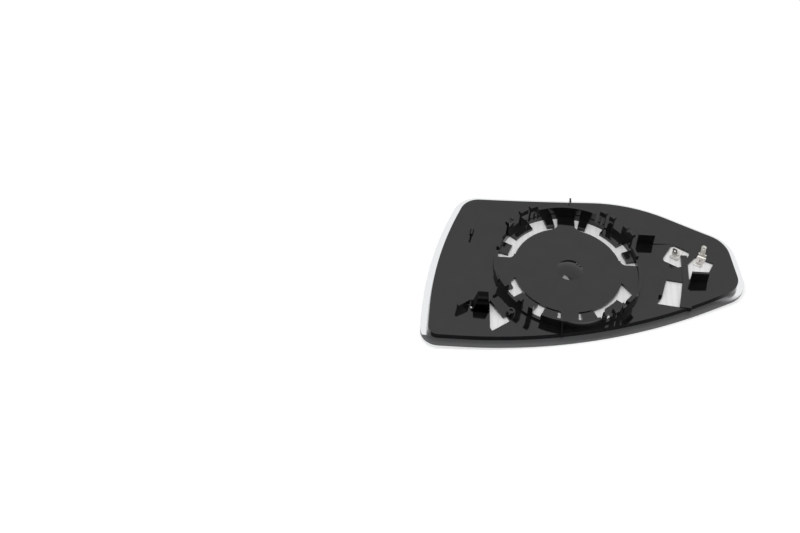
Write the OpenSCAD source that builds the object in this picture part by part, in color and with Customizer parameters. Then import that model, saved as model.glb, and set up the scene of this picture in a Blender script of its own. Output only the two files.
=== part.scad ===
// Heated wide-angle door mirror glass for the left side, seen from behind.
// The mirror face points down and its lowest point lies at Z = 0. X runs to the
// narrow outer tip, Y to the top edge, and the middle of the outline lies over the
// origin. Places are given from the clip ring's axis.

/* [Glass outline] */
// Width of the whole glass, inner edge to tip
glass_w = 185.2; // [183:0.1:187]
// Height of the whole glass, bottom to top edge
glass_h = 116.5; // [115.5:0.1:117.5]
// Clip ring axis to the low inner corner, across
inner_low_x = 84.2; // [82:0.1:88]
// Clip ring axis to the low inner corner, down
inner_low_y = 59.9; // [59:0.1:61.5]
// Rounding of the low inner corner
inner_low_r = 9.3; // [7:0.1:12]
// Clip ring axis to the bend of the inner edge, across
inner_bend_x = 80.3; // [80:0.1:81]
// Bend of the inner edge, above the clip ring axis
inner_bend_y = 4.7; // [3:0.1:6]
// Radius of the bowed inner edge
inner_bend_r = 236; // [215:1:240]
// Clip ring axis to the top inner corner, across
inner_top_x = 60.7; // [59.8:0.1:61.5]
// Top inner corner, above the clip ring axis
inner_top_y = 52; // [51.4:0.1:52.8]
// Rounding of the top inner corner
inner_top_r = 16.5; // [14:0.5:17.5]
// Crest of the top edge, from the clip ring axis towards the tip
crest_x = 38.8; // [37:0.1:41]
// Crest of the top edge, above the clip ring axis
crest_y = 58.7; // [58:0.1:59.5]
// Radius over the crest
crest_r = 92; // [70:1:96]
// Upper corner of the tip, across
tip_top_x = 96.2; // [95:0.1:97.5]
// Upper corner of the tip, above the clip ring axis
tip_top_y = 31; // [30:0.1:32.5]
// Rounding of the tip's upper corner
tip_top_r = 22; // [18:0.5:24]
// Lower corner of the tip, across
tip_low_x = 103.5; // [102.5:0.1:105]
// Lower corner of the tip, below the clip ring axis
tip_low_y = 7.8; // [7:0.1:9]
// Rounding of the tip's lower corner
tip_low_r = 15; // [12:0.5:17]
// Bend of the bottom edge, from the clip ring axis towards the tip
low_bend_x = 14.7; // [11:0.1:17]
// Bend of the bottom edge, below the clip ring axis
low_bend_y = 54.4; // [53.4:0.1:55]
// Radius of the bowed bottom edge
low_bend_r = 350; // [300:1:380]

/* [Mirror glass] */
// Thickness of the glass
glass_t = 2; // [1.6:0.1:2.6]
// Radius of the convex main field
main_r = 1400; // [1200:10:2000]
// Lowest point of the face, across from the clip ring axis
apex_x = 9.5; // [5:0.5:14]
// Lowest point of the face, up from the clip ring axis
apex_y = -1; // [-5:0.5:4]

/* [Heater foil] */
// Thickness of the foil with its foam backing
foil_t = 1.9; // [1.4:0.1:2.2]
// Foil edge to the flange around it
foil_play = 0.3; // [0.2:0.05:0.6]

/* [Backing plate] */
// Plate edge inside the glass edge
plate_inset = 3.9; // [3.2:0.1:4.6]
// Thickness of the plate over the foil
plate_t = 1.4; // [1.2:0.1:1.8]
// Width of the flange around the foil, which stands on the glass
flange_w = 1.6; // [1.2:0.1:2.2]

/* [Clip ring] */
// Radius inside the foot of the ring wall
ring_r = 40.6; // [40:0.1:40.8]
// Radius inside the clips, where the carrier seats
seat_r = 41.1; // [40.9:0.1:41.6]
// Height at which that seat starts
seat_z = 8.6; // [8.6:0.1:9.2]
// Thickness of the ring wall at the seat
ring_t = 1.5; // [1.3:0.1:2]
// Top of the tall wall in the upper half
far_wall_top = 14; // [12:0.1:14.1]
// Top of the tall wall in the lower half
near_wall_top = 11.8; // [11:0.1:13]
// Half the angle that each tall wall spans
wall_half = 23.5; // [20:0.5:24]
// Top of the middle wall between the clips
mid_top = 10.4; // [9.8:0.1:12]
// Top of the wall before the first clips
shoulder_top = 9.4; // [8.8:0.1:9.7]
// Top of the low wall on either side
low_top = 7.8; // [7.2:0.1:8.4]
// Half the angle of the low wall in the upper half
upper_low_half = 16; // [12:1:17]
// Half the angle of the low wall in the lower half
lower_low_half = 8; // [6:1:12]
// Top of the clips in the upper half
clip_top = 17; // [16.6:0.1:18]
// Top of the clips in the lower left
left_clip_top = 15.7; // [15.2:0.1:16.5]
// Top of the clips in the lower right
right_clip_top = 16.4; // [15.4:0.1:16.5]
// How far the hook of each clip stands out
clip_hook = 1.6; // [0.8:0.1:2.2]
// Height of the hooked end of a clip
hook_h = 3.1; // [2.9:0.1:3.4]
// Height of the lead-in inside a clip
lead_h = 2.8; // [2:0.1:2.8]
// Depth of that lead-in
lead_d = 0.5; // [0.3:0.1:0.8]
// Bottom of the slots between the clips
slot_bottom = 7.4; // [7:0.1:8.2]

/* [Clips, degrees from the level bridge] */
// Start of the first clip, upper left
ul_first = 33.7; // [32:0.1:35]
// Width of the first clip, upper left
ul_first_w = 7; // [5:0.1:8]
// Start of the second clip, upper left
ul_second = 49.2; // [48:0.1:50]
// Width of the second clip, upper left
ul_second_w = 7; // [5:0.1:8]
// Start of the third clip, upper left
ul_third = 58.8; // [58.5:0.1:59.5]
// Width of the third clip, upper left
ul_third_w = 6.2; // [5:0.1:6.5]
// Start of the first clip, upper right
ur_first = 29; // [28:0.1:31]
// Width of the first clip, upper right
ur_first_w = 12; // [9:0.1:13]
// Start of the second clip, upper right
ur_second = 50.4; // [49:0.1:51]
// Width of the second clip, upper right
ur_second_w = 4.4; // [3.5:0.1:5.5]
// Start of the third clip, upper right
ur_third = 57.9; // [57.5:0.1:59]
// Width of the third clip, upper right
ur_third_w = 5.4; // [4.5:0.1:6.5]
// Start of the first clip, lower left
ll_first = 20; // [18:0.1:22]
// Width of the first clip, lower left
ll_first_w = 12; // [8:0.1:13]
// Start of the second clip, lower left
ll_second = 45.5; // [44:0.1:47]
// Width of the second clip, lower left
ll_second_w = 4; // [3:0.1:5]
// Start of the third clip, lower left
ll_third = 55.4; // [54:0.1:57]
// Width of the third clip, lower left
ll_third_w = 4; // [3:0.1:5]
// Start of the first clip, lower right
lr_first = 31; // [29:0.1:32]
// Width of the first clip, lower right
lr_first_w = 11; // [8:0.1:12]
// Start of the second clip, lower right
lr_second = 45.7; // [45.3:0.1:46.5]
// Width of the second clip, lower right
lr_second_w = 3.6; // [3:0.1:4.5]
// Start of the third clip, lower right
lr_third = 53.2; // [52:0.1:54.5]
// Width of the third clip, lower right
lr_third_w = 3.6; // [3:0.1:4.5]
// Start of the fourth clip, lower right
lr_fourth = 61.8; // [61:0.1:62]
// Width of the fourth clip, lower right
lr_fourth_w = 3.4; // [2.6:0.1:3.6]
// Slot beside the first clips
slot_w = 2; // [1:0.5:4]
// Slot beside the second clips
thin_slot_w = 1; // [0.6:0.1:1.6]
// Radius of the notch in the first upper clips
notch_r = 1.4; // [0.8:0.1:1.8]
// Height of the window in the third upper clips
arch_h = 5; // [3:0.1:6]
// Width of that window
arch_w = 1.8; // [1.2:0.1:2.4]

/* [Centre disc] */
// Radius of the disc inside the ring
disc_r = 31.3; // [30.5:0.1:31.8]
// Top of the disc
disc_top = 6.5; // [6.3:0.1:6.6]
// Thickness of the disc, its bridges and thin tongues
web_t = 1.4; // [1.2:0.1:1.8]
// Width of the level bridges
side_bridge_w = 13; // [11:0.5:14]
// Width of the upright bridges
end_bridge_w = 10; // [8:0.5:11]
// Fillet where a bridge meets the disc
bridge_fillet = 3; // [1:0.5:4]
// Radius of the dome in the middle
dome_r = 7.6; // [6:0.1:9]
// Height of the dome
dome_h = 2; // [1.2:0.1:2]
// Dome beside the ring's axis
dome_x = 1.2; // [0:0.1:2]

/* [Tongues in the ring, degrees from the level bridge] */
// Inner radius of the side tongues
side_tongue_r = 35.2; // [34:0.1:36.5]
// Start of the side tongues in the upper half
side_tongue = 14.5; // [13.5:0.1:16]
// End of the side tongues in the upper half
side_tongue_end = 26.5; // [24:0.1:28]
// End of the side tongue in the lower left
left_tongue_end = 26.5; // [24:0.1:28]
// Inner radius of the corner tongues in the upper half
corner_tongue_r = 35.7; // [34:0.1:37]
// Inner radius of the corner tongue in the lower left
left_corner_r = 32.4; // [32.2:0.1:34]
// Inner radius of the corner tongue in the lower right
right_corner_r = 33.6; // [32.4:0.1:35]
// Start of the corner tongues
corner_tongue = 36; // [34:0.1:38]
// End of the corner tongues
corner_tongue_end = 57; // [54:0.1:58]
// End of the corner tongue in the lower right
right_corner_end = 53; // [51:0.1:57]
// Inner radius of the end tongues in the upper half
end_tongue_r = 33.5; // [32.6:0.1:35]
// Inner radius of the end tongues in the lower half
low_end_tongue_r = 32.4; // [32.2:0.1:34]
// Start of the end tongues in the upper half
end_tongue = 71; // [69:0.1:73]
// Start of the end tongues in the lower half
low_end_tongue = 65; // [63:0.1:68]
// End of the end tongues
end_tongue_end = 78.6; // [77:0.1:79]
// Gusset below the left bridge, at the disc
left_gusset_in = 1.6; // [0.5:0.1:3]
// Gusset below the left bridge, at the tongue
left_gusset_out = 6; // [5:0.1:7]
// Reach of the gusset below the left bridge
left_gusset_l = 2.3; // [1.5:0.1:3.5]
// Gusset below the right bridge, at the disc
right_gusset_in = 0.2; // [0.1:0.1:2]
// Gusset below the right bridge, at the ring
right_gusset_out = 8.3; // [6:0.1:9]
// Reach of the gusset below the right bridge
right_gusset_l = 5.6; // [4:0.1:6.5]

/* [Terminals] */
// Thickness of the sheet
tab_t = 0.8; // [0.5:0.05:1]
// Width of the blade
tab_w = 2.8; // [2.4:0.1:3.2]
// Height of the blade above the foil
tab_h = 9.9; // [9:0.1:12]
// Width of the shoulders
shoulder_w = 4.8; // [4.2:0.1:5.4]
// Height of the shoulders above the foil
shoulder_h = 2.9; // [2.4:0.1:3.6]
// Outer radius of the bend
bend_r = 1.4; // [1.1:0.1:2]
// Length of the foot
foot_l = 7.4; // [6.8:0.1:7.6]
// Blade to the rivet's axis
rivet_reach = 4.1; // [3.7:0.1:4.4]
// Radius of the hole near the blade's end
tab_hole_r = 0.7; // [0.5:0.05:0.9]
// Left terminal, across from the clip ring axis
left_tab_x = 62; // [61.5:0.1:62.5]
// Left terminal, up from the clip ring axis
left_tab_y = 15.2; // [14.8:0.1:15.6]
// Right terminal, across from the clip ring axis
right_tab_x = 78.4; // [78:0.1:78.8]
// Right terminal, up from the clip ring axis
right_tab_y = 16.9; // [16.5:0.1:17.3]

/* [Rivets] */
// Radius of the rivet head
rivet_r = 1.9; // [1.7:0.05:2.1]
// Height of the rivet head
rivet_h = 0.6; // [0.4:0.05:0.9]
// Radius of the rivet shank
shank_r = 1.2; // [0.9:0.05:1.5]
// Hole through the eyelet
eyelet_r = 0.6; // [0.3:0.05:0.7]

/* [Windows] */
// Width of the left terminal's window
left_window_w = 11.8; // [11:0.1:12.4]
// Depth of the left terminal's window
left_window_d = 14; // [13.2:0.1:14.6]
// Reach of that window behind the blade
left_window_back = 8.5; // [8:0.1:9]
// That window off its terminal, sideways
left_window_side = 0.7; // [0.2:0.1:1]
// Cut corners of that window
window_corner = 1.4; // [0.6:0.1:2]
// Turn of the left terminal
left_turn = 151; // [149:0.5:153]
// Turn of the right terminal
right_turn = -25; // [-27:0.5:-23]
// Left side of the right terminal's window, across
right_window_left = 69.2; // [69:0.1:69.4]
// Left shoulder of that window, up from the clip ring axis
right_window_shoulder = 10; // [8:0.1:11]
// Top corner of that window, across
right_window_top_x = 74.4; // [73.5:0.1:75]
// Top corner of that window, up
right_window_top_y = 16.2; // [15.6:0.1:16.8]
// Outer corner of that window, across
right_window_side_x = 84.6; // [84:0.1:85.5]
// Outer corner of that window, up
right_window_side_y = 12; // [11.4:0.1:12.6]
// Knee of that window, across
right_window_knee_x = 80.4; // [80:0.1:81.5]
// Knee of that window, up
right_window_knee_y = 2.6; // [1.6:0.1:3.4]
// Bottom of that window, below the clip ring axis
right_window_low = 0.7; // [0.3:0.1:0.9]
// Width of the notch around the right blade
blade_notch_w = 5.6; // [5.5:0.1:6.2]
// Depth of that notch behind the blade's face
blade_notch_d = 1.2; // [1.1:0.1:1.8]
// Corner of the long window, across from the clip ring axis
long_window_x = 56.6; // [56.2:0.1:57]
// Corner of the long window, below the clip ring axis
long_window_y = 1.7; // [1.3:0.1:2.3]
// Turn of the long window
long_window_turn = -8.1; // [-9:0.1:-7]
// Width of the long window
long_window_w = 9.2; // [8:0.1:9.6]
// Length of the long window
long_window_l = 19.3; // [17:0.1:20.4]
// Flare of the long window at its lower corner
long_window_flare = 3.8; // [2.6:0.1:4.6]
// Length of that flare
long_flare_l = 5.3; // [4:0.1:7]
// Lean of the long window's inner side
long_window_lean = 1.4; // [0.4:0.1:2]
// Middle of the bar between the windows, across
bar_x = 67.7; // [67.5:0.1:68]
// Width of that bar
bar_w = 3.6; // [3.2:0.1:3.8]
// Top end of that bar, up from the clip ring axis
bar_top = 16.8; // [16.2:0.1:16.9]
// Bottom end of that bar, below the clip ring axis
bar_low = 22.4; // [22.2:0.1:23]
// Knee of that bar, below the clip ring axis
bar_knee = 3.2; // [2:0.1:4]
// How far that bar's foot widens
bar_foot = 3.2; // [2.4:0.1:3.6]
// Height of that bar above the plate
bar_h = 0.5; // [0.3:0.1:1]
// Top corner of the window at the leaf, below the clip ring axis
leaf_window_top = 27.5; // [26:0.1:29]
// Inner side of the window at the leaf, across
leaf_window_x = 45; // [44.5:0.1:45.2]
// Lower end of that side, below the clip ring axis
leaf_window_low = 46.8; // [46:0.1:47.4]
// Lowest corner of that window, across
leaf_corner_x = 43.8; // [43.2:0.1:44.2]
// Lowest corner of that window, below the clip ring axis
leaf_corner_y = 49; // [48:0.1:49.4]
// Outer corner of that window, across
leaf_side_x = 33.4; // [33:0.1:34.4]
// Outer corner of that window, below the clip ring axis
leaf_side_y = 40.4; // [40:0.1:41.4]
// Sight hole in the plate, across
sight_x = 55.2; // [54.8:0.1:55.6]
// Sight hole in the plate, below the clip ring axis
sight_y = 32.6; // [32:0.1:33]
// Radius of the sight hole
sight_r = 1.3; // [0.9:0.05:1.6]

/* [Fins and tabs] */
// Thickness of the thin fins
fin_t = 1; // [0.8:0.1:1.4]
// Fin at the top, beside the clip ring's axis
top_fin_x = 2.3; // [0:0.1:4]
// Height of the fin at the top
top_fin_h = 6.2; // [5:0.1:7]
// Length of the fin at the top, past the ring
top_fin_l = 8.4; // [7:0.1:9]
// Fin at the bottom, beside the clip ring's axis
low_fin_x = 5; // [3:0.1:7]
// Height of the fin at the bottom
low_fin_h = 5.6; // [4:0.1:6]
// Length of the fin at the bottom, past the ring
low_fin_l = 6; // [5:0.1:7]
// Foot of the inner fin, across
inner_fin_x = 55.6; // [55:0.1:56.5]
// Foot of the inner fin, up from the clip ring axis
inner_fin_y = 18.6; // [17:0.1:20]
// Length of the inner fin
inner_fin_l = 12.5; // [10:0.1:14]
// Turn of the inner fin
inner_fin_turn = 81; // [78:0.5:84]
// Height of the inner fin
inner_fin_h = 3.8; // [3:0.1:5]
// Length of the thick part of the inner fin
inner_pad_l = 3.6; // [2:0.1:5]
// Thickness of the upright tabs
tab_wall = 1.5; // [1.2:0.1:1.8]
// Height of the tab beside the ring
ring_tab_h = 7.9; // [6:0.1:9]
// Length of the tab beside the ring
ring_tab_l = 9.5; // [8:0.1:11]
// Tab beside the ring, up from the clip ring axis
ring_tab_y = 25; // [24:0.1:26]
// Tab beside the ring, across
ring_tab_x = 40.9; // [40.5:0.1:41.5]
// Length of the line that runs on from that tab
line_l = 16; // [13:0.5:18]
// Height of that line
line_h = 0.5; // [0.3:0.1:0.8]
// Height of the tab below the right terminal
terminal_tab_h = 7.6; // [5:0.1:9]
// Length of the tab below the right terminal
terminal_tab_l = 9.8; // [8:0.1:10.5]
// Tab below the right terminal, across
terminal_tab_x = 70.1; // [69.8:0.1:70.6]
// Tab below the right terminal, down
terminal_tab_y = 2.1; // [2:0.1:2.6]
// Height of the slanted tab at the inner side
slant_tab_h = 4.8; // [3.5:0.1:6]
// Length of the slanted tab
slant_tab_l = 8.2; // [6:0.1:9]
// Foot of the slanted tab, across
slant_tab_x = 63.4; // [62.5:0.1:64]
// Foot of the slanted tab, below the clip ring axis
slant_tab_y = 36.4; // [35.5:0.1:37]
// Turn of the slanted tab
slant_tab_turn = 38; // [34:0.5:42]
// Rib beside the long window, across
rib_x = 55.4; // [55:0.1:55.6]
// Length of the rib beside the long window
rib_l = 15.6; // [12:0.1:17]
// Turn of the rib beside the long window
rib_turn = -102.5; // [-104:0.5:-101]
// Thickness of that rib
rib_t = 1.6; // [1.2:0.1:1.8]
// Height of that rib
rib_h = 2; // [1:0.1:3]
// Height of the hood above the plate
hood_h = 9; // [8:0.1:11]
// Wall of the hood
hood_wall = 1.4; // [1.2:0.1:1.8]
// Front of the hood, below the clip ring axis
hood_front = 35.3; // [34.5:0.1:36.5]
// Depth of the hood
hood_d = 6.6; // [6:0.1:8]
// Rounding of the hood's front top edge
hood_bend = 5; // [3:0.1:5.4]
// Left foot of the hood, across
hood_left = 55; // [54.4:0.1:55.4]
// Right foot of the hood, across
hood_right = 45.4; // [45.3:0.1:46]
// How far the hood's left side leans in
hood_lean = 2.5; // [1.5:0.1:3.5]
// How far the hood's right side leans in
hood_lean_right = 1.3; // [0.5:0.1:2]
// Foot of the spring leaf, across
leaf_x = 35.8; // [35:0.1:36.5]
// Foot of the spring leaf, below the clip ring axis
leaf_y = 35.6; // [35:0.1:36.5]
// Turn of the spring leaf
leaf_turn = 128; // [125:0.5:132]
// Length of the spring leaf
leaf_l = 12.6; // [11:0.1:13.5]
// Width of the spring leaf
leaf_w = 6.2; // [5.4:0.1:6.6]
// Thickness of the spring leaf
leaf_t = 1.3; // [1.1:0.1:1.8]
// Tilt of the spring leaf
leaf_tilt = 10; // [7:1:14]
// Boss beside the leaf, across
boss_x = 33.4; // [33:0.1:34]
// Boss beside the leaf, below the clip ring axis
boss_y = 35.2; // [34.8:0.1:35.6]
// Radius of that boss
boss_r = 2.2; // [1.9:0.1:2.4]
// Height of that boss
boss_h = 3; // [2.4:0.1:3.6]
// Radius of the recess in that boss
boss_hole_r = 1.1; // [0.7:0.05:1.4]

/* [Fits] */
// Rivet shank to the hole in the foot
rivet_play = 0.05; // [0.03:0.01:0.1]
// Flat feet above the lowest point of the dished foil under them
seat_play = 0.025; // [0.025:0.005:0.04]
// Overlap where features grow out of the plate
root = 0.4; // [0.2:0.1:0.6]

/* [Hidden] */
$fn = 96;
foil_bottom = glass_t;
plate_bottom = glass_t + foil_t;
plate_top = plate_bottom + plate_t;
foil_inset = plate_inset + flange_w + foil_play;
ring_out = seat_r + ring_t;
ring_top = max(clip_top, left_clip_top, right_clip_top);
seat_top = ring_top - lead_h;
low_fin_z = plate_top + low_fin_h + 0.8;
overlap = 1;
quarter_turn = 90;
gusset_root = 3;
drawn_w = 185.2;
drawn_h = 116.5;
cut_high = 40;
tall = 24;
fine = 1440;
sweep = 10;
span = 125;
depth = 200;
outline_step = 6;
outline_turn = 7;
corners = [
  [-inner_low_x, -inner_low_y, inner_low_r],
  [low_bend_x, -low_bend_y, low_bend_r],
  [tip_low_x, -tip_low_y, tip_low_r],
  [tip_top_x, tip_top_y, tip_top_r],
  [crest_x, crest_y, crest_r],
  [-inner_top_x, inner_top_y, inner_top_r],
  [-inner_bend_x, inner_bend_y, inner_bend_r]
];
upper_left = [[ul_first, ul_first_w], [ul_second, ul_second_w], [ul_third, ul_third_w]];
upper_right = [[ur_first, ur_first_w], [ur_second, ur_second_w], [ur_third, ur_third_w]];
lower_left = [[ll_first, ll_first_w], [ll_second, ll_second_w], [ll_third, ll_third_w]];
lower_right = [[lr_first, lr_first_w], [lr_second, lr_second_w], [lr_third, lr_third_w],
  [lr_fourth, lr_fourth_w]];

function unit(v) = v / norm(v);
function xy(c) = [c[0] * glass_w / drawn_w, c[1] * glass_h / drawn_h];
function at(i) = xy(corners[(i + len(corners)) % len(corners)]);
function side(i) = norm(at(i + 1) - at(i));
function free_reach(i) = corners[(i + len(corners)) % len(corners)][2] / tan(half_turn(i));
function ease(i) = min(1, side(i) / (free_reach(i) + free_reach(i + 1)),
  side(i - 1) / (free_reach(i - 1) + free_reach(i)));
function radius(i) = corners[i][2] * ease(i);
function half_turn(i) = acos(unit(at(i - 1) - at(i)) * unit(at(i + 1) - at(i))) / 2;
function middle(i) = at(i) + unit(unit(at(i - 1) - at(i)) + unit(at(i + 1) - at(i)))
  * radius(i) / sin(half_turn(i));
function reach(i) = radius(i) / tan(half_turn(i));
function turn(i) = 180 - 2 * half_turn(i);
function arc_steps(i) = ceil(max(turn(i) * PI / 180 * radius(i) / outline_step,
  turn(i) / outline_turn));
function arc_from(i) = let (v = at(i) + unit(at(i - 1) - at(i)) * reach(i) - middle(i))
  atan2(v[1], v[0]);
function arc_points(i, d) = [for (k = [0:arc_steps(i)])
  let (a = arc_from(i) + turn(i) * k / arc_steps(i))
  middle(i) + (radius(i) - d) * [cos(a), sin(a)]];
edge = [for (i = [0:len(corners) - 1]) each arc_points(i, 0)];
mid_x = (min([for (p = edge) p[0]]) + max([for (p = edge) p[0]])) / 2;
mid_y = (min([for (p = edge) p[1]]) + max([for (p = edge) p[1]])) / 2;
function sag(x, y) = (pow(x - apex_x, 2) + pow(y - apex_y, 2)) / (2 * main_r);
function plate_z(x, y) = plate_top + sag(x, y);
function lean(v) = asin(v / (main_r - plate_bottom));

// From the clip ring's axis to the middle of the outline.
module placed()
  translate([-mid_x, -mid_y, 0])
    children();

// The outline, moved in by d: straight runs joined by arcs.
module outline(d)
  polygon([for (i = [0:len(corners) - 1]) each arc_points(i, d)]);

// Everything that lies deeper than d behind the convex mirror face: a section
// with the face's radius, swept about an axis that lies one radius above it.
module behind(d)
  translate([apex_x, apex_y, main_r])
    rotate([0, 90, 0])
      rotate([0, 0, -sweep / 2])
        rotate_extrude(angle = sweep, $fn = fine)
          intersection() {
            circle(r = main_r - d, $fn = fine);
            translate([main_r - depth, -span])
              square([2 * depth, 2 * span]);
          }

// The outline between depths d1 and d2: a shallow dish that follows the mirror.
module layered_outline(inset, d1, d2)
  difference() {
    intersection() {
      translate([0, 0, -1])
        linear_extrude(tall)
          outline(inset);
      behind(d1);
    }
    behind(d2);
  }

// The full ring at clip height: foot, wider seat, lead-in and hooked top.
module ring_blank()
  rotate_extrude()
    polygon([
      [ring_r, 0],
      [ring_out, 0],
      [ring_out, ring_top - hook_h],
      [ring_out + clip_hook, ring_top - hook_h / 2],
      [ring_out + clip_hook * 0.7, ring_top],
      [seat_r + lead_d, ring_top],
      [seat_r, seat_top],
      [seat_r, seat_z],
      [ring_r, seat_z]
    ]);

// Space above height z between the angles a0 and a1.
module ring_cut(a0, a1, z)
  translate([0, 0, z])
    linear_extrude(tall)
      polygon([[0, 0], [ring_out * 1.3 * cos(a0), ring_out * 1.3 * sin(a0)],
        [ring_out * 1.3 * cos(a1), ring_out * 1.3 * sin(a1)]]);

// One quarter of the ring: low places, and slots between the clips in the list.
module quarter_cuts(clips, low_half, top, wall_top) {
  last = len(clips) - 1;
  ring_cut(-overlap, low_half, low_top);
  ring_cut(low_half, clips[0][0] - slot_w, shoulder_top);
  ring_cut(clips[0][0] - slot_w, clips[0][0], slot_bottom);
  ring_cut(clips[0][0] + clips[0][1], clips[1][0] - thin_slot_w, mid_top);
  ring_cut(clips[1][0] - thin_slot_w, clips[1][0], slot_bottom);
  for (i = [1:last - 1])
    ring_cut(clips[i][0] + clips[i][1], clips[i + 1][0], slot_bottom);
  ring_cut(clips[last][0] + clips[last][1], quarter_turn - wall_half, slot_bottom);
  ring_cut(quarter_turn - wall_half, quarter_turn + overlap, wall_top);
  if (top < ring_top)
    ring_cut(clips[0][0], quarter_turn - wall_half, top);
}

// Notch in the top of a first clip, which leaves two points.
module clip_notch(clip)
  rotate([0, 0, clip[0] + clip[1] / 2])
    translate([seat_r, 0, ring_top])
      rotate([0, 90, 0])
        cylinder(r = notch_r, h = 4 * (ring_t + clip_hook), center = true);

// Window through a third clip.
module arch_window(clip)
  rotate([0, 0, clip[0] + clip[1] / 2])
    translate([seat_r, 0, slot_bottom + arch_h / 2])
      cube([4 * ring_t, arch_w, arch_h], center = true);

module clip_ring()
  difference() {
    ring_blank();
    quarter_cuts(upper_right, upper_low_half, clip_top, far_wall_top);
    clip_notch(upper_right[0]);
    arch_window(upper_right[2]);
    mirror([1, 0, 0]) {
      quarter_cuts(upper_left, upper_low_half, clip_top, far_wall_top);
      clip_notch(upper_left[0]);
      arch_window(upper_left[2]);
    }
    mirror([0, 1, 0])
      quarter_cuts(lower_right, lower_low_half, right_clip_top, near_wall_top);
    rotate([0, 0, 180])
      quarter_cuts(lower_left, lower_low_half, left_clip_top, near_wall_top);
  }

module tongue(a0, a1, r)
  intersection() {
    difference() {
      circle(r = seat_r + 3 * root);
      circle(r = r);
    }
    polygon([[0, 0], [ring_out * 1.2 * cos(a0), ring_out * 1.2 * sin(a0)],
      [ring_out * 1.2 * cos(a1), ring_out * 1.2 * sin(a1)]]);
  }

module bridge_corner(w, along)
  rotate([0, 0, along])
    difference() {
      translate([sqrt(disc_r * disc_r - w * w / 4) - bridge_fillet / 2, w / 2 - root])
        square([bridge_fillet * 1.5, bridge_fillet + root]);
      translate([sqrt(disc_r * disc_r - w * w / 4) + bridge_fillet,
        w / 2 + bridge_fillet])
        circle(r = bridge_fillet);
    }

// Slanted corner between a level bridge, the disc and a tongue.
module gusset(rise_in, rise_out, l)
  polygon([[disc_r - gusset_root, side_bridge_w / 2 - root], [disc_r - 1, side_bridge_w / 2 + rise_in],
    [disc_r + l, side_bridge_w / 2 + rise_out],
    [seat_r + 2 * root, side_bridge_w / 2 + rise_out],
    [seat_r + 2 * root, side_bridge_w / 2 - root]]);

// Tongues that reach down to the foil, wider by w degrees and d millimetres.
module deep_tongues(w, d) {
  for (side = [0, 1])
    mirror([side, 0, 0]) {
      tongue(corner_tongue - w, corner_tongue_end + w, corner_tongue_r - d);
      tongue(end_tongue - w, end_tongue_end + w, end_tongue_r - d);
      mirror([0, 1, 0])
        tongue(low_end_tongue - w, end_tongue_end + w, low_end_tongue_r - d);
    }
  rotate([0, 0, 180])
    tongue(corner_tongue - w, corner_tongue_end + w, left_corner_r - d);
  mirror([0, 1, 0])
    tongue(corner_tongue - w, right_corner_end + w, right_corner_r - d);
}

// Everything that stays inside the ring: disc, bridges and tongues.
module ring_web() {
  circle(r = disc_r);
  square([2 * seat_r + 6 * root, side_bridge_w], center = true);
  square([end_bridge_w, 2 * seat_r + 6 * root], center = true);
  deep_tongues(0, 0);
  for (side = [0, 1])
    mirror([side, 0, 0]) {
      tongue(side_tongue, side_tongue_end, side_tongue_r);
      bridge_corner(side_bridge_w, 0);
      mirror([1, -1, 0])
        bridge_corner(end_bridge_w, 0);
    }
  rotate([0, 0, 180]) {
    gusset(left_gusset_in, left_gusset_out, left_gusset_l);
    tongue(side_tongue - 2, left_tongue_end, side_tongue_r);
  }
  mirror([0, 1, 0])
    gusset(right_gusset_in, right_gusset_out, right_gusset_l);
}

// Place of a terminal; the windows over the terminals lie turned like them.
module tab_place(x, y, turn)
  translate([x, y, 0])
    rotate([0, 0, turn])
      children();

// Window around the left terminal, with cut corners.
module left_window()
  translate([-left_window_side - left_window_w / 2, -left_window_back])
    polygon([[window_corner, 0], [left_window_w - window_corner, 0],
      [left_window_w, window_corner], [left_window_w, left_window_d - window_corner],
      [left_window_w - window_corner, left_window_d], [window_corner, left_window_d],
      [0, left_window_d - window_corner], [0, window_corner]]);

module right_window()
  polygon([[right_window_left, -right_window_low], [right_window_left, right_window_shoulder],
    [right_window_top_x, right_window_top_y], [right_window_side_x, right_window_side_y],
    [right_window_knee_x, right_window_knee_y],
    [right_window_knee_x - 1, -right_window_low]]);

module long_window()
  polygon([[0, 0], [long_window_w, 0], [long_window_w, -long_window_l],
    [-long_window_flare, -long_window_l],
    [-long_window_lean, long_flare_l - long_window_l]]);

module windows() {
  difference() {
    union() {
      tab_place(left_tab_x, left_tab_y, left_turn)
        left_window();
      right_window();
      tab_place(right_tab_x, right_tab_y, right_turn)
        translate([-blade_notch_w / 2, -rivet_reach])
          square([blade_notch_w, rivet_reach + blade_notch_d]);
    }
    bar_shape();
  }
  translate([long_window_x, -long_window_y])
    rotate([0, 0, long_window_turn])
      long_window();
  polygon([[-leaf_window_x, -leaf_window_top], [-leaf_window_x, -leaf_window_low],
    [-leaf_corner_x, -leaf_corner_y], [-leaf_side_x, -leaf_side_y],
    [-leaf_x, -leaf_y - 1]]);
  translate([-sight_x, -sight_y])
    circle(r = sight_r);
}

module bar_shape()
  polygon([[bar_x - bar_w / 2, bar_top], [bar_x + bar_w / 2, bar_top],
    [bar_x + bar_w / 2, -bar_low], [bar_x - bar_w / 2 - bar_foot, -bar_low],
    [bar_x - bar_w / 2, -bar_knee]]);

// An upright wall on the plate, from a foot along its own turn.
module upright(x, y, turn, l, t, h)
  translate([x, y, plate_z(x, y) - root])
    rotate([0, 0, turn])
      translate([0, -t / 2, 0])
        cube([l, t, h + root]);

module hood() {
  z0 = plate_z(-hood_left, -hood_front) - 2 * root;
  difference() {
    hood_block(hood_left, hood_right, hood_front, z0, hood_h + 2 * root, hood_bend);
    hood_block(hood_left - hood_wall, hood_right + hood_wall, hood_front - hood_wall,
      z0 + 2 * root, hood_h - hood_wall, hood_bend - hood_wall);
  }
}

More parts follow.
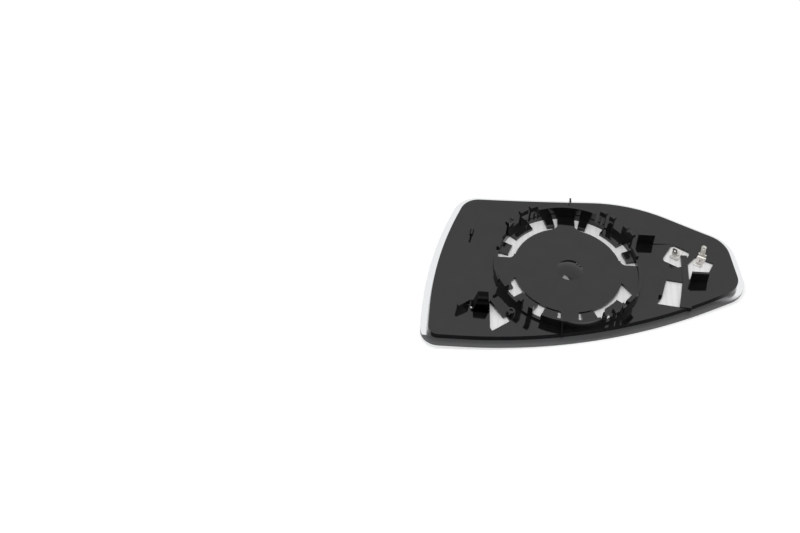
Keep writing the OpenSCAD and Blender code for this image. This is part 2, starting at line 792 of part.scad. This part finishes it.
// Block with leaning sides and a rounded front top edge.
module hood_block(left, right, front, z0, h, bend)
  intersection() {
    translate([0, 0, z0])
      rotate([90, 0, 0])
        linear_extrude(2 * hood_front, center = true)
          polygon([[-left, 0], [-right, 0], [-right - hood_lean_right, h],
            [-left + hood_lean, h]]);
    translate([-hood_left - overlap, -front, z0])
      rotate([90, 0, 90])
        linear_extrude(hood_left) {
          square([hood_front + hood_d - front, h - bend]);
          translate([bend, 0])
            square([front - hood_front + hood_d - bend, h]);
          translate([bend, h - bend])
            circle(r = bend);
        }
    translate([-hood_left - overlap, -hood_front - overlap, z0 - overlap])
      cube([hood_left, hood_d + overlap, hood_h + 2 * overlap]);
  }

module leaf()
  translate([-leaf_x, -leaf_y, plate_z(-leaf_x, -leaf_y) - root])
    rotate([0, 0, leaf_turn])
      rotate([0, -leaf_tilt, 0])
        translate([-leaf_t, -leaf_w / 2, 0])
          cube([leaf_l, leaf_w, leaf_t]);

module fins() {
  upright(top_fin_x, ring_out - root, 90, top_fin_l, fin_t, top_fin_h);
  translate([-low_fin_x - fin_t / 2, -ring_out + root, 0])
    rotate([90, 0, 90])
      linear_extrude(fin_t)
        polygon([[0, plate_top - root], [0, low_fin_z], [-low_fin_l, plate_top + root],
          [-low_fin_l, plate_top - root]]);
  upright(-inner_fin_x, inner_fin_y, inner_fin_turn, inner_fin_l, fin_t, inner_fin_h);
  upright(-inner_fin_x + (inner_fin_l - inner_pad_l) / 2 * cos(inner_fin_turn),
    inner_fin_y + (inner_fin_l - inner_pad_l) / 2 * sin(inner_fin_turn), inner_fin_turn,
    inner_pad_l, 2 * fin_t, inner_fin_h - 2 * root);
}

module tabs() {
  upright(ring_tab_x, ring_tab_y, 1, ring_tab_l, tab_wall, ring_tab_h);
  upright(ring_tab_x + ring_tab_l - root, ring_tab_y, 4, line_l, fin_t, line_h);
  upright(terminal_tab_x, -terminal_tab_y, 1, terminal_tab_l, tab_wall, terminal_tab_h);
  upright(-slant_tab_x, -slant_tab_y, slant_tab_turn, slant_tab_l, tab_wall, slant_tab_h);
  upright(rib_x, 0, rib_turn, rib_l, rib_t, rib_h);
}

module bar()
  translate([0, 0, plate_bottom])
    linear_extrude(plate_z(bar_x, 0) + bar_h - plate_bottom)
      bar_shape();

module boss()
  translate([-boss_x, -boss_y, plate_z(-boss_x, -boss_y) - root])
    difference() {
      cylinder(r = boss_r, h = boss_h + root);
      translate([0, 0, boss_h - root])
        cylinder(r = boss_hole_r, h = tall);
    }

module dome()
  translate([dome_x, 0, disc_top])
    intersection() {
      translate([0, 0, dome_h - (dome_r * dome_r + dome_h * dome_h) / (2 * dome_h)])
        sphere(r = (dome_r * dome_r + dome_h * dome_h) / (2 * dome_h));
      translate([0, 0, -root])
        cylinder(r = dome_r + 1, h = dome_h + 2 * root);
    }

module mirror_glass()
  color("#c9d2d6")
    placed()
      layered_outline(0, 0, glass_t);

module heater_foil()
  color("#e8e8e4")
    placed()
      layered_outline(foil_inset, foil_bottom, plate_bottom);

// Panel of the plate, still solid down to the glass.
module panel()
  difference() {
    translate([0, 0, -1])
      linear_extrude(tall)
        outline(plate_inset);
    behind(plate_top);
  }

// Ground of the plate: the panel, the ring's foot and the disc, cut through.
module ground()
  difference() {
    union() {
      panel();
      cylinder(r = seat_r + 2 * root, h = disc_top);
    }
    translate([0, 0, -2])
      linear_extrude(cut_high)
        difference() {
          circle(r = seat_r + root);
          ring_web();
        }
    translate([0, 0, -2])
      linear_extrude(cut_high)
        windows();
    web_underside();
  }

// The disc, bridges and side tongues are thin and stand clear of the foil; the
// other tongues and a hub in the middle reach down to it.
module web_underside()
  translate([0, 0, -2])
    difference() {
      cylinder(r = seat_r + root / 2, h = disc_top - web_t + 2);
      translate([0, 0, -1])
        linear_extrude(tall) {
          deep_tongues(0.5, 0.2);
          translate([dome_x, 0])
            circle(r = dome_r);
        }
    }

// The room that the foil takes up between the flange, the glass and the plate.
module foil_room()
  difference() {
    translate([0, 0, -2])
      linear_extrude(tall)
        outline(plate_inset + flange_w);
    behind(plate_bottom);
  }

module backing_plate()
  color("#1c1c1e")
    placed()
      difference() {
        intersection() {
          behind(glass_t);
          union() {
            ground();
            dome();
            clip_ring();
            bar();
            hood();
            leaf();
            fins();
            tabs();
            boss();
          }
        }
        foil_room();
      }

// A place on the foil, square to the face there, with its own turn.
module on_foil(x, y, turn)
  translate([apex_x, apex_y, main_r])
    rotate([lean(y - apex_y), -lean(x - apex_x), 0])
      translate([0, 0, plate_bottom + seat_play - main_r])
        rotate([0, 0, turn])
          children();

// Side view of the sheet: foot, bend and shoulders.
module bent_sheet() {
  translate([-foot_l, 0])
    square([foot_l + tab_t - bend_r, tab_t]);
  translate([0, bend_r])
    square([tab_t, shoulder_h - bend_r]);
  intersection() {
    translate([tab_t - bend_r, bend_r])
      difference() {
        circle(r = bend_r);
        circle(r = bend_r - tab_t);
      }
    translate([tab_t - bend_r, 0])
      square(bend_r);
  }
}

module blade_shape()
  difference() {
    union() {
      translate([-tab_w / 2, bend_r])
        square([tab_w, tab_h - bend_r - tab_w / 3]);
      polygon([[-tab_w / 2, tab_h - tab_w / 3], [tab_w / 2, tab_h - tab_w / 3],
        [tab_w / 4, tab_h], [-tab_w / 4, tab_h]]);
    }
    translate([0, tab_h - tab_w * 0.75])
      circle(r = tab_hole_r);
  }

// A spade terminal: riveted foot on the foil and an upright blade.
module terminal(x, y, turn)
  color("#b9bcc0")
    placed()
      on_foil(x, y, turn)
        difference() {
          union() {
            translate([-shoulder_w / 2, 0, 0])
              rotate([90, 0, 90])
                linear_extrude(shoulder_w)
                  bent_sheet();
            translate([0, tab_t, 0])
              rotate([90, 0, 0])
                linear_extrude(tab_t)
                  blade_shape();
          }
          translate([0, -rivet_reach, -1])
            cylinder(r = shank_r + rivet_play, h = tab_t + 2);
        }

// A hollow rivet through the terminal's foot.
module rivet(x, y, turn)
  color("#9fa2a6")
    placed()
      on_foil(x, y, turn)
        translate([0, -rivet_reach, 0])
          difference() {
            union() {
              cylinder(r = shank_r, h = tab_t + rivet_h);
              translate([0, 0, tab_t])
                cylinder(r = rivet_r, h = rivet_h);
            }
            translate([0, 0, -1])
              cylinder(r = eyelet_r, h = tab_t + rivet_h + 2);
          }

module terminal_left()
  terminal(left_tab_x, left_tab_y, left_turn);

module terminal_right()
  terminal(right_tab_x, right_tab_y, right_turn);

module rivet_left()
  rivet(left_tab_x, left_tab_y, left_turn);

module rivet_right()
  rivet(right_tab_x, right_tab_y, right_turn);

mirror_glass();
heater_foil();
backing_plate();
terminal_left();
terminal_right();
rivet_left();
rivet_right();
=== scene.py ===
import math

import bpy
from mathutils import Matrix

MM = 0.001

# Camera and light: places in millimetres, turns in degrees.
CAMERA_AT = (-169.58, -819.12, 943.34)
CAMERA_TURN = (40.838, -4.853, 1.040)
CAMERA_LENS = 99.0
SENSOR = 36.0
# Centre of the arc of the glass's near rim, and the inner radius of its strip that is painted dark grey
# as shade, mm.
NEAR_ARC = (-89.8, 291.9, 344.9)
NEAR_STRIP_ENDS = (-14.0, -7.0)
# The hood's place in the plan and how far it reaches each way, mm, where painted shade darkens the
# plate; its foot is between the two heights.
HOOD_AT = (-59.3, -30.9)
HOOD_REACH = (5.6, 4.4)
HOOD_FOOT = (5.2, 6.4)
# The line on the mirror face that divides its two parts, mm.
DIVIDE_AT = 47.7
DIVIDE_SLOPE = 0.23
TRACK_PITCH = 3.4
SOFTBOX_AT = (-0.20, -0.26, 1.0)
SOFTBOX_SIZE = (0.62, 0.40)
SOFTBOX_WATTS = 4.2
FLOOR_HALF = 6.0
FLOOR_GLOW = 0.34
# The studio is dark on this side of the object.
DARK_SIDE = (-0.133, -0.655, 0.744)


class Value:
    """One number of a shader, with the ordinary operators."""

    def __init__(self, net, socket):
        self.net = net
        self.socket = socket

    def _math(self, operation, *others):
        node = self.net.tree.nodes.new("ShaderNodeMath")
        node.operation = operation
        for place, item in enumerate((self,) + others):
            self.net.feed(node.inputs[place], item)
        return Value(self.net, node.outputs[0])

    def __add__(self, other):
        return self._math("ADD", other)

    __radd__ = __add__

    def __sub__(self, other):
        return self._math("SUBTRACT", other)

    def __rsub__(self, other):
        return self.net.number(other)._math("SUBTRACT", self)

    def __mul__(self, other):
        return self._math("MULTIPLY", other)

    __rmul__ = __mul__

    def __truediv__(self, other):
        return self._math("DIVIDE", other)

    def __neg__(self):
        return self._math("MULTIPLY", -1.0)

    def __lt__(self, other):
        return self._math("LESS_THAN", other)

    def abs(self):
        return self._math("ABSOLUTE")

    def most(self, other):
        return self._math("MAXIMUM", other)

    def root(self):
        return self._math("SQRT")

    def fraction(self):
        return self._math("FRACT")

    def step(self, low, high):
        """0 at low, 1 at high, smooth between."""
        node = self.net.tree.nodes.new("ShaderNodeMapRange")
        node.interpolation_type = "SMOOTHSTEP"
        self.net.feed(node.inputs["Value"], self)
        self.net.feed(node.inputs["From Min"], low)
        self.net.feed(node.inputs["From Max"], high)
        return Value(self.net, node.outputs["Result"])


class Net:
    """A node tree that is written as expressions."""

    def __init__(self, tree):
        self.tree = tree
        tree.nodes.clear()

    def feed(self, socket, item):
        if isinstance(item, Value):
            self.tree.links.new(item.socket, socket)
        elif isinstance(item, bpy.types.NodeSocket):
            self.tree.links.new(item, socket)
        else:
            socket.default_value = item

    def number(self, amount):
        if isinstance(amount, Value):
            return amount
        node = self.tree.nodes.new("ShaderNodeValue")
        node.outputs[0].default_value = amount
        return Value(self, node.outputs[0])

    def node(self, kind, sockets=None, **settings):
        """Any node: settings are its properties, sockets its inputs by name or place."""
        made = self.tree.nodes.new(kind)
        for name, amount in settings.items():
            setattr(made, name, amount)
        for name, item in (sockets or {}).items():
            self.feed(made.inputs[name], item)
        return made

    def place(self, unit=1.0 / MM):
        """Object coordinates as three values in millimetres, and the vector."""
        where = self.node("ShaderNodeTexCoord").outputs["Object"]
        scaled = self.node("ShaderNodeVectorMath", {0: where, "Scale": unit}, operation="SCALE")
        parts = self.node("ShaderNodeSeparateXYZ", {0: scaled.outputs[0]})
        return [Value(self, parts.outputs[i]) for i in range(3)] + [scaled.outputs[0]]

    def vector(self, x, y, z):
        return self.node("ShaderNodeCombineXYZ", {0: x, 1: y, 2: z}).outputs[0]

    def noise(self, vector, scale, detail=2.0, roughness=0.5):
        made = self.node("ShaderNodeTexNoise", {"Vector": vector, "Scale": scale, "Detail": detail,
                                                "Roughness": roughness})
        return Value(self, made.outputs["Fac"])

    def cells(self, vector, scale):
        made = self.node("ShaderNodeTexVoronoi", {"Vector": vector, "Scale": scale})
        return Value(self, made.outputs["Distance"])

    def normal_up(self):
        """How far the face points up, from -1 to 1."""
        facing = self.node("ShaderNodeNewGeometry").outputs["Normal"]
        return Value(self, self.node("ShaderNodeSeparateXYZ", {0: facing}).outputs[2])

    def colour(self, amount, low, high):
        """low where amount is 0, high where it is 1."""
        made = self.node("ShaderNodeMix", {"Factor": amount}, data_type="RGBA")
        for name, item in ((6, low), (7, high)):
            self.feed(made.inputs[name], item if not isinstance(item, tuple) else item + (1.0,))
        return made.outputs[2]

    def bump(self, height, distance, strength=1.0, under=None):
        made = self.node("ShaderNodeBump", {"Height": height, "Distance": distance,
                                            "Strength": strength})
        if under is not None:
            self.feed(made.inputs["Normal"], under)
        return made.outputs[0]

    def surface(self, **sockets):
        names = {key.replace("_", " "): item for key, item in sockets.items()}
        shader = self.node("ShaderNodeBsdfPrincipled")
        for name, item in names.items():
            if isinstance(item, tuple):
                item = item + (1.0,)
            self.feed(shader.inputs[name], item)
        out = self.node("ShaderNodeOutputMaterial")
        self.tree.links.new(shader.outputs[0], out.inputs[0])
        return shader


def new_material(name):
    material = bpy.data.materials.new(name)
    material.use_nodes = True
    return material, Net(material.node_tree)


def plate_plastic():
    """Black moulded plastic: glossy, with a faint grain and soft flow waves."""
    material, net = new_material("plate_plastic")
    x, y, z, where = net.place()
    flow = net.noise(where, 0.035, 2.0)
    grain = net.noise(where, 3.2, 3.0, 0.6)
    cloud = net.noise(where, 0.12, 3.0)
    dust = net.cells(where, 0.55)
    speck = (1.0 - dust.step(0.02, 0.05)) * cloud.step(0.45, 0.7)
    base = net.colour(cloud.step(0.3, 0.7) * 0.6 + speck * 0.4, (0.005, 0.005, 0.0053),
                      (0.009, 0.009, 0.009))
    # painted shade: the hood is made dark by position, as near-black metal, and rougher so it loses its
    # highlight
    hood = ((x - HOOD_AT[0]).abs() < HOOD_REACH[0]) * ((y - HOOD_AT[1]).abs() < HOOD_REACH[1])
    hood_painted_shade = hood * z.step(HOOD_FOOT[0], HOOD_FOOT[1])
    rough = 0.045 + cloud * 0.03 + grain * 0.02 + speck * 0.2 + hood_painted_shade * 0.25
    waves = net.bump(flow, 0.0006, 0.35)
    skin = net.bump(grain, 0.00001, 0.6, waves)
    # Metallic here carries the hood's painted shade
    net.surface(Base_Color=base, Metallic=hood_painted_shade, Roughness=rough, Normal=skin, IOR=1.5)
    return material


def heater_film():
    """White film over printed heater tracks that just show through."""
    material, net = new_material("heater_film")
    x, y, z, where = net.place()
    wander = net.noise(net.vector(x, y * 0.4, z), 0.08, 2.0)
    track = ((x + wander * 5.0) / TRACK_PITCH).fraction()
    line = (track - 0.5).abs().step(0.16, 0.2)
    fleck = net.noise(where, 1.6, 3.0)
    base = net.colour(line * 0.75 + fleck.step(0.3, 0.8) * 0.25, (0.8, 0.803, 0.806),
                      (0.87, 0.87, 0.868))
    soft = net.bump(line, 0.00004, 0.35)
    puckers = net.bump(net.noise(where, 0.2, 2.0), 0.0004, 0.4, soft)
    rough = 0.34 + fleck * 0.12
    net.surface(Base_Color=base, Roughness=rough, Normal=puckers, IOR=1.45)
    return material


def mirror_coat():
    """Silvered glass: a clear mirror below, a paler coated back, and a near rim painted dark grey as
    painted shade.
    """
    material, net = new_material("mirror_coat")
    x, y, z, where = net.place()
    up = net.normal_up()
    back = up.step(0.5, 0.8)
    face = (-up).step(0.5, 0.8)
    edge = (1.0 - back) * (1.0 - face)
    # painted shade: the near rim of the back is painted dark grey, dull and not metal, along an arc
    # about this point
    across = x - NEAR_ARC[0]
    along = y - NEAR_ARC[1]
    from_centre = (across * across + along * along).root()
    near = from_centre.step(NEAR_ARC[2], NEAR_ARC[2] + 0.3)
    near = near * (1.0 - y.step(NEAR_STRIP_ENDS[0], NEAR_STRIP_ENDS[1]))
    divide = x - y * DIVIDE_SLOPE - DIVIDE_AT
    line = (1.0 - divide.abs().step(0.25, 0.45)) * face
    wipe = net.noise(net.vector(x, y * 3.0, z), 0.05, 3.0)
    dots = net.noise(where, 1.4, 2.0)
    silver = net.colour(edge, (0.80, 0.82, 0.83), (0.09, 0.095, 0.095))
    silver = net.colour(back * 0.6 + back * dots * 0.3, silver, (0.83, 0.84, 0.85))
    # mask of the painted shade on the near rim: dark grey colour in place of the mirror's reflection
    near_rim_painted_shade = near * (1.0 - face)
    silver = net.colour(near_rim_painted_shade, silver, (0.075, 0.077, 0.078))
    base = net.colour(line, silver, (0.05, 0.05, 0.052))
    metal = (1.0 - edge * 0.8) * (1.0 - line * 0.7) * (1.0 - near_rim_painted_shade)
    rough = 0.015 + wipe * 0.02 + back * 0.09 + back * dots * 0.06 + edge * 0.35 + line * 0.4
    rough = rough + near_rim_painted_shade * 0.2
    ground = net.bump(dots, 0.00003, 0.5)
    net.surface(Base_Color=base, Metallic=metal, Roughness=rough, Normal=ground)
    return material


def tinned_sheet():
    """Stamped and tinned brass sheet, drawn marks along the blade."""
    material, net = new_material("tinned_sheet")
    x, y, z, where = net.place()
    drawn = net.noise(net.vector(x * 6.0, y * 6.0, z * 0.6), 0.8, 3.0)
    blotch = net.noise(where, 0.9, 3.0)
    base = net.colour(blotch.step(0.35, 0.7), (0.62, 0.6, 0.57), (0.8, 0.79, 0.77))
    rough = 0.22 + drawn * 0.14 + blotch * 0.08
    marks = net.bump(drawn, 0.00003, 0.5)
    net.surface(Base_Color=base, Metallic=1.0, Roughness=rough, Normal=marks)
    return material


def rivet_metal():
    """Rolled rivet, a little duller than the sheet, with a turned sheen."""
    material, net = new_material("rivet_metal")
    x, y, z, where = net.place()
    pits = net.noise(where, 2.6, 3.0)
    stain = net.noise(where, 0.7, 2.0)
    base = net.colour(stain.step(0.3, 0.75), (0.5, 0.49, 0.47), (0.7, 0.69, 0.68))
    rough = 0.28 + pits * 0.16
    skin = net.bump(pits, 0.00003, 0.6)
    net.surface(Base_Color=base, Metallic=1.0, Roughness=rough, Normal=skin)
    return material


def floor_paper():
    """White paper that shows white to the camera and keeps the shadow."""
    material, net = new_material("floor_paper")
    x, y, z, where = net.place()
    fibre = net.noise(where, 0.4, 3.0)
    shade = net.colour(fibre, (0.78, 0.78, 0.78), (0.8, 0.8, 0.8))
    paper = net.node("ShaderNodeBsdfDiffuse", {"Color": shade})
    path = net.node("ShaderNodeLightPath")
    seen = Value(net, path.outputs["Is Camera Ray"]).most(Value(net, path.outputs["Is Glossy Ray"]))
    seen = seen.most(Value(net, path.outputs["Is Transmission Ray"]))
    glow = net.node("ShaderNodeEmission", {"Color": (1.0, 1.0, 1.0, 1.0), "Strength": seen * FLOOR_GLOW})
    both = net.node("ShaderNodeAddShader", {0: paper.outputs[0], 1: glow.outputs[0]})
    out = net.node("ShaderNodeOutputMaterial")
    net.tree.links.new(both.outputs[0], out.inputs[0])
    return material


def make_world():
    """White studio with a dark side around the camera; plain white where it is seen."""
    world = bpy.data.worlds.new("studio")
    bpy.context.scene.world = world
    world.use_nodes = True
    net = Net(world.node_tree)
    towards = net.node("ShaderNodeTexCoord").outputs["Generated"]
    cosine = net.node("ShaderNodeVectorMath", {0: towards, 1: DARK_SIDE}, operation="DOT_PRODUCT")
    dark = Value(net, cosine.outputs["Value"]).step(0.72, 0.93)
    path = net.node("ShaderNodeLightPath")
    camera = Value(net, path.outputs["Is Camera Ray"])
    glossy = Value(net, path.outputs["Is Glossy Ray"]).most(
        Value(net, path.outputs["Is Transmission Ray"]))
    level = glossy * (1.0 - dark * 0.9) + (1.0 - glossy) * 0.62
    level = camera + (1.0 - camera) * level
    light = net.node("ShaderNodeBackground", {"Color": (1.0, 1.0, 1.0, 1.0), "Strength": level})
    out = net.node("ShaderNodeOutputWorld")
    net.tree.links.new(light.outputs[0], out.inputs[0])


def make_softbox():
    """One soft lamp, turned towards the origin."""
    data = bpy.data.lights.new("softbox", "AREA")
    data.shape = "RECTANGLE"
    data.size = SOFTBOX_SIZE[0]
    data.size_y = SOFTBOX_SIZE[1]
    data.energy = SOFTBOX_WATTS
    lamp = bpy.data.objects.new("softbox", data)
    bpy.context.collection.objects.link(lamp)
    x, y, z = SOFTBOX_AT
    lamp.location = SOFTBOX_AT
    lamp.rotation_euler = (math.atan2(math.hypot(x, y), z), 0.0, math.atan2(x, -y))


def make_floor():
    mesh = bpy.data.meshes.new("floor")
    half = FLOOR_HALF
    corners = [(-half, -half, 0), (half, -half, 0), (half, half, 0), (-half, half, 0)]
    mesh.from_pydata(corners, [], [(0, 1, 2, 3)])
    floor = bpy.data.objects.new("floor", mesh)
    bpy.context.collection.objects.link(floor)
    floor.data.materials.append(floor_paper())


def make_camera():
    data = bpy.data.cameras.new("camera")
    camera = bpy.data.objects.new("camera", data)
    bpy.context.collection.objects.link(camera)
    data.lens = CAMERA_LENS
    data.sensor_width = SENSOR
    data.clip_start = 0.01
    data.clip_end = 50.0
    camera.location = [c * MM for c in CAMERA_AT]
    camera.rotation_euler = [math.radians(c) for c in CAMERA_TURN]
    bpy.context.scene.camera = camera


def dress(name, material):
    """Gives a CAD node its material."""
    piece = nodes[name]
    piece.data.materials.clear()
    piece.data.materials.append(material)


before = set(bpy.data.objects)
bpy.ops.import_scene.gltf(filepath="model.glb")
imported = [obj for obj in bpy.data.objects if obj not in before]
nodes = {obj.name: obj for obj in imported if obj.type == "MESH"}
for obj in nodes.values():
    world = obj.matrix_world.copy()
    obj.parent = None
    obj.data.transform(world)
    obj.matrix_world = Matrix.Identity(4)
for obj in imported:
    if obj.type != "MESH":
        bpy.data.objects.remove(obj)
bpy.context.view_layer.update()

dress("mirror_glass", mirror_coat())
dress("heater_foil", heater_film())
dress("backing_plate", plate_plastic())
sheet = tinned_sheet()
dress("terminal_left", sheet)
dress("terminal_right", sheet)
rivet = rivet_metal()
dress("rivet_left", rivet)
dress("rivet_right", rivet)

make_world()
make_floor()
make_camera()
make_softbox()

scene = bpy.context.scene
scene.view_settings.view_transform = "Standard"
